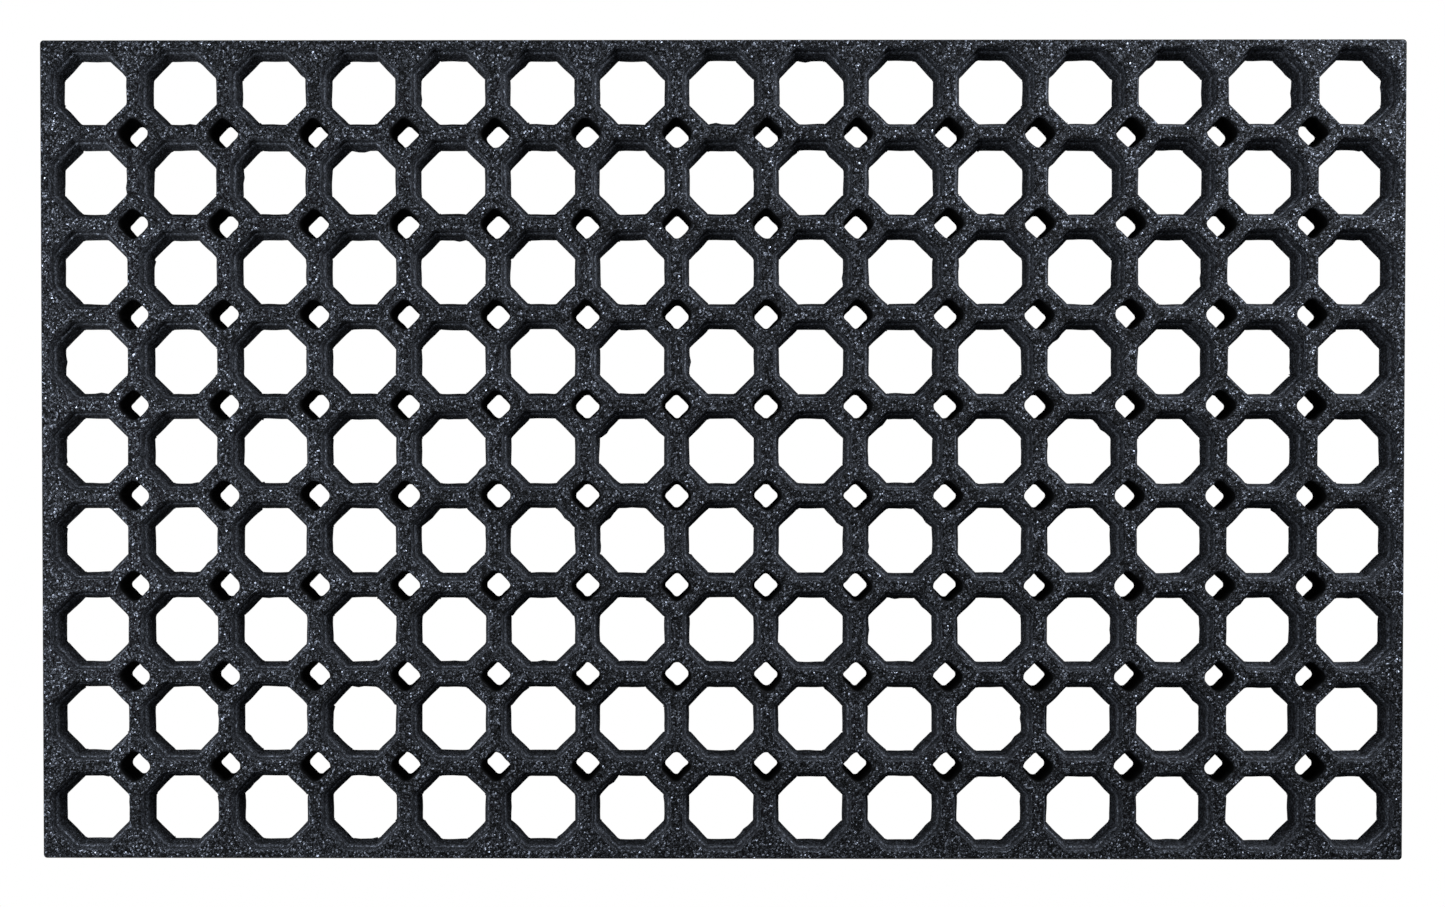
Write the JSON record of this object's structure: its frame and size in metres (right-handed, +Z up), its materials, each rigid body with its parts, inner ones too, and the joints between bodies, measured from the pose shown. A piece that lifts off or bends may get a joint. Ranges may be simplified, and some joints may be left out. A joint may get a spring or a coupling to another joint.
{
  "type": "door mat",
  "caption": "Open-ring rubber door mat with octagonal openings and small square drains, flexing between its rows so that it rolls up.",
  "frame": {"origin": "centre of the mat's underside", "axes": "+X along the long side, +Y across the mat, +Z up out of the tread"},
  "size_m": [0.75, 0.45, 0.022],
  "materials": {
    "rubber": "granular, matt"
  },
  "bodies": {
    "left_edge_strip": {"left_edge_strip": "rubber"},
    "strip_02": {"strip_02": "rubber"},
    "strip_03": {"strip_03": "rubber"},
    "strip_04": {"strip_04": "rubber"},
    "strip_05": {"strip_05": "rubber"},
    "strip_06": {"strip_06": "rubber"},
    "strip_07": {"strip_07": "rubber"},
    "strip_08": {"strip_08": "rubber"},
    "strip_09": {"strip_09": "rubber"},
    "strip_10": {"strip_10": "rubber"},
    "strip_11": {"strip_11": "rubber"},
    "strip_12": {"strip_12": "rubber"},
    "strip_13": {"strip_13": "rubber"},
    "strip_14": {"strip_14": "rubber"},
    "strip_15": {"strip_15": "rubber"},
    "right_edge_strip": {"right_edge_strip": "rubber"}
  },
  "joints": [
    {"name": "flex_01", "type": "hinge", "parent": "strip_02", "child": "left_edge_strip", "pos_m": [-0.35, 0, 0.022], "axis": [0, 1, 0], "range_deg": [0, 23], "stiffness_Nm_per_rad": 6},
    {"name": "flex_02", "type": "hinge", "parent": "strip_03", "child": "strip_02", "pos_m": [-0.3, 0, 0.022], "axis": [0, 1, 0], "range_deg": [0, 23], "stiffness_Nm_per_rad": 6},
    {"name": "flex_03", "type": "hinge", "parent": "strip_04", "child": "strip_03", "pos_m": [-0.25, 0, 0.022], "axis": [0, 1, 0], "range_deg": [0, 23], "stiffness_Nm_per_rad": 6},
    {"name": "flex_04", "type": "hinge", "parent": "strip_05", "child": "strip_04", "pos_m": [-0.2, 0, 0.022], "axis": [0, 1, 0], "range_deg": [0, 23], "stiffness_Nm_per_rad": 6},
    {"name": "flex_05", "type": "hinge", "parent": "strip_06", "child": "strip_05", "pos_m": [-0.15, 0, 0.022], "axis": [0, 1, 0], "range_deg": [0, 23], "stiffness_Nm_per_rad": 6},
    {"name": "flex_06", "type": "hinge", "parent": "strip_07", "child": "strip_06", "pos_m": [-0.1, 0, 0.022], "axis": [0, 1, 0], "range_deg": [0, 23], "stiffness_Nm_per_rad": 6},
    {"name": "flex_07", "type": "hinge", "parent": "strip_08", "child": "strip_07", "pos_m": [-0.05, 0, 0.022], "axis": [0, 1, 0], "range_deg": [0, 23], "stiffness_Nm_per_rad": 6},
    {"name": "flex_08", "type": "hinge", "parent": "strip_08", "child": "strip_09", "pos_m": [0, 0, 0.022], "axis": [0, -1, 0], "range_deg": [0, 23], "stiffness_Nm_per_rad": 6},
    {"name": "flex_09", "type": "hinge", "parent": "strip_09", "child": "strip_10", "pos_m": [0.05, 0, 0.022], "axis": [0, -1, 0], "range_deg": [0, 23], "stiffness_Nm_per_rad": 6},
    {"name": "flex_10", "type": "hinge", "parent": "strip_10", "child": "strip_11", "pos_m": [0.1, 0, 0.022], "axis": [0, -1, 0], "range_deg": [0, 23], "stiffness_Nm_per_rad": 6},
    {"name": "flex_11", "type": "hinge", "parent": "strip_11", "child": "strip_12", "pos_m": [0.15, 0, 0.022], "axis": [0, -1, 0], "range_deg": [0, 23], "stiffness_Nm_per_rad": 6},
    {"name": "flex_12", "type": "hinge", "parent": "strip_12", "child": "strip_13", "pos_m": [0.2, 0, 0.022], "axis": [0, -1, 0], "range_deg": [0, 23], "stiffness_Nm_per_rad": 6},
    {"name": "flex_13", "type": "hinge", "parent": "strip_13", "child": "strip_14", "pos_m": [0.25, 0, 0.022], "axis": [0, -1, 0], "range_deg": [0, 23], "stiffness_Nm_per_rad": 6},
    {"name": "flex_14", "type": "hinge", "parent": "strip_14", "child": "strip_15", "pos_m": [0.3, 0, 0.022], "axis": [0, -1, 0], "range_deg": [0, 23], "stiffness_Nm_per_rad": 6},
    {"name": "flex_15", "type": "hinge", "parent": "strip_15", "child": "right_edge_strip", "pos_m": [0.35, 0, 0.022], "axis": [0, -1, 0], "range_deg": [0, 23], "stiffness_Nm_per_rad": 6}
  ]
}
